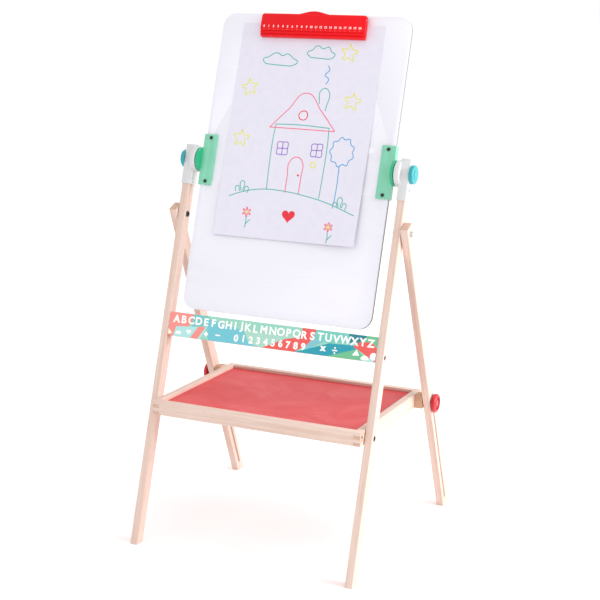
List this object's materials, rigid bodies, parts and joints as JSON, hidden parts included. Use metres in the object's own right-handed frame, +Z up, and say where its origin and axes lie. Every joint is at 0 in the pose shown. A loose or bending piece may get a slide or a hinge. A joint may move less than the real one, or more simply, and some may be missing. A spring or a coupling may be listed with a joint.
{
  "type": "folding easel",
  "caption": "Child's folding wooden easel with a tilting double-sided board, paper clip, letter rail, tray and slotted back legs that fold flat.",
  "frame": {"origin": "on the floor, under the middle of the easel's box", "axes": "+Z up, +X to the right of the child who draws at the board, +Y away from the child, towards the back legs"},
  "size_m": [0.5186, 0.4884, 1.0095],
  "materials": {
    "beech": "bare fine-grained wood",
    "spacer_beech": "bare wood, darker cut",
    "letter_print": "printed panel, satin",
    "steel": "zinc plated",
    "dark_steel": "blackened steel",
    "white_plastic": "moulded, satin gloss",
    "nylon": "nylon",
    "crimson_plastic": "moulded gloss",
    "tray_red": "painted board, satin",
    "brass": "machined",
    "board_core": "painted fibreboard edge",
    "whiteboard": "gloss dry-wipe",
    "chalkboard": "matt chalkboard",
    "mint_plastic": "moulded, satin",
    "emerald_plastic": "moulded gloss",
    "turquoise_plastic": "moulded gloss",
    "clip_red": "moulded gloss",
    "paper": "uncoated paper"
  },
  "bodies": {
    "root": {"front_leg_left": "beech", "front_leg_right": "beech", "letter_rail": "beech", "letter_strip": "letter_print", "letter_rail_bolts": "steel", "leg_cap_left": "white_plastic", "leg_cap_right": "white_plastic", "leg_cap_screws": "dark_steel", "leg_pivot_bolts": "steel", "leg_pivot_nuts": "steel", "leg_pivot_washers": "nylon"},
    "rear_leg_left": {"rear_leg_left": "beech"},
    "rear_leg_right": {"rear_leg_right": "beech"},
    "clamp_slider_left": {"clamp_washer_left": "steel"},
    "clamp_slider_right": {"clamp_washer_right": "steel"},
    "clamp_knob_left": {"clamp_knob_left": "crimson_plastic", "clamp_stud_left": "steel"},
    "clamp_knob_right": {"clamp_knob_right": "crimson_plastic", "clamp_stud_right": "steel"},
    "tray": {"tray_front_rail": "beech", "tray_rear_rail": "beech", "tray_side_left": "beech", "tray_side_right": "beech", "tray_panel": "tray_red", "tray_spacer_left": "spacer_beech", "tray_spacer_right": "spacer_beech", "tray_inserts": "brass", "tray_pivot_bolts": "dark_steel", "tray_screws": "dark_steel"},
    "board": {"board_core": "board_core", "whiteboard_sheet": "whiteboard", "chalkboard_sheet": "chalkboard", "board_bracket_left": "mint_plastic", "board_bracket_right": "mint_plastic", "bracket_screws": "dark_steel", "index_disc_left": "emerald_plastic", "index_disc_right": "emerald_plastic", "board_axles": "steel", "clip_base": "clip_red", "clip_base_rivets": "steel", "clip_pin": "steel", "clip_spring": "steel", "drawing_sheet": "paper"},
    "clip_jaw": {"clip_jaw": "clip_red"},
    "board_knob_left": {"board_knob_left": "turquoise_plastic"},
    "board_knob_right": {"board_knob_right": "turquoise_plastic"}
  },
  "joints": [
    {"name": "tray_fold", "type": "hinge", "parent": "root", "child": "tray", "pos_m": [0, -0.15131, 0.2565], "axis": [-1, 0, 0], "range_deg": [0, 101]},
    {"name": "rear_leg_left_fold", "type": "hinge", "parent": "root", "child": "rear_leg_left", "pos_m": [-0.241, -0.03695, 0.617], "axis": [-1, 0, 0], "range_deg": [-0.5, 39.16]},
    {"name": "rear_leg_right_fold", "type": "hinge", "parent": "root", "child": "rear_leg_right", "pos_m": [0.241, -0.03695, 0.617], "axis": [-1, 0, 0], "range_deg": [-0.5, 39.16]},
    {"name": "clamp_left_slide", "type": "slide", "parent": "rear_leg_left", "child": "clamp_slider_left", "axis": [0, 0.3971, -0.9178], "range_m": [-0.0002, 0.25212]},
    {"name": "clamp_right_slide", "type": "slide", "parent": "rear_leg_right", "child": "clamp_slider_right", "axis": [0, 0.3971, -0.9178], "range_m": [-0.0002, 0.25212]},
    {"name": "clamp_left_turn", "type": "hinge", "parent": "clamp_slider_left", "child": "clamp_knob_left", "pos_m": [-0.2485, 0.12111, 0.25174], "axis": [-1, 0, 0], "range_deg": [0, 360]},
    {"name": "clamp_right_turn", "type": "hinge", "parent": "clamp_slider_right", "child": "clamp_knob_right", "pos_m": [0.2485, 0.12111, 0.25174], "axis": [1, 0, 0], "range_deg": [0, 360]},
    {"name": "board_turn", "type": "hinge", "parent": "root", "child": "board", "pos_m": [0, -0.0038, 0.7215], "axis": [-1, 0, 0], "continuous": true},
    {"name": "board_knob_left_turn", "type": "hinge", "parent": "board", "child": "board_knob_left", "pos_m": [-0.235, -0.0038, 0.7215], "axis": [-1, 0, 0], "range_deg": [0, 360]},
    {"name": "board_knob_right_turn", "type": "hinge", "parent": "board", "child": "board_knob_right", "pos_m": [0.235, -0.0038, 0.7215], "axis": [1, 0, 0], "range_deg": [0, 360]},
    {"name": "clip_open", "type": "hinge", "parent": "board", "child": "clip_jaw", "pos_m": [0, 0.07378, 0.99491], "axis": [-1, 0, 0], "range_deg": [0, 15], "stiffness_Nm_per_rad": 0.6, "springref_deg": -20.05}
  ],
  "couplings": [
    {"joint": "rear_leg_left_fold", "follows": "tray_fold", "ratio": 0.38273},
    {"joint": "rear_leg_right_fold", "follows": "tray_fold", "ratio": 0.38273},
    {"joint": "clamp_left_slide", "follows": "tray_fold", "m_per_rad": 0.14291},
    {"joint": "clamp_right_slide", "follows": "tray_fold", "m_per_rad": 0.14291}
  ]
}
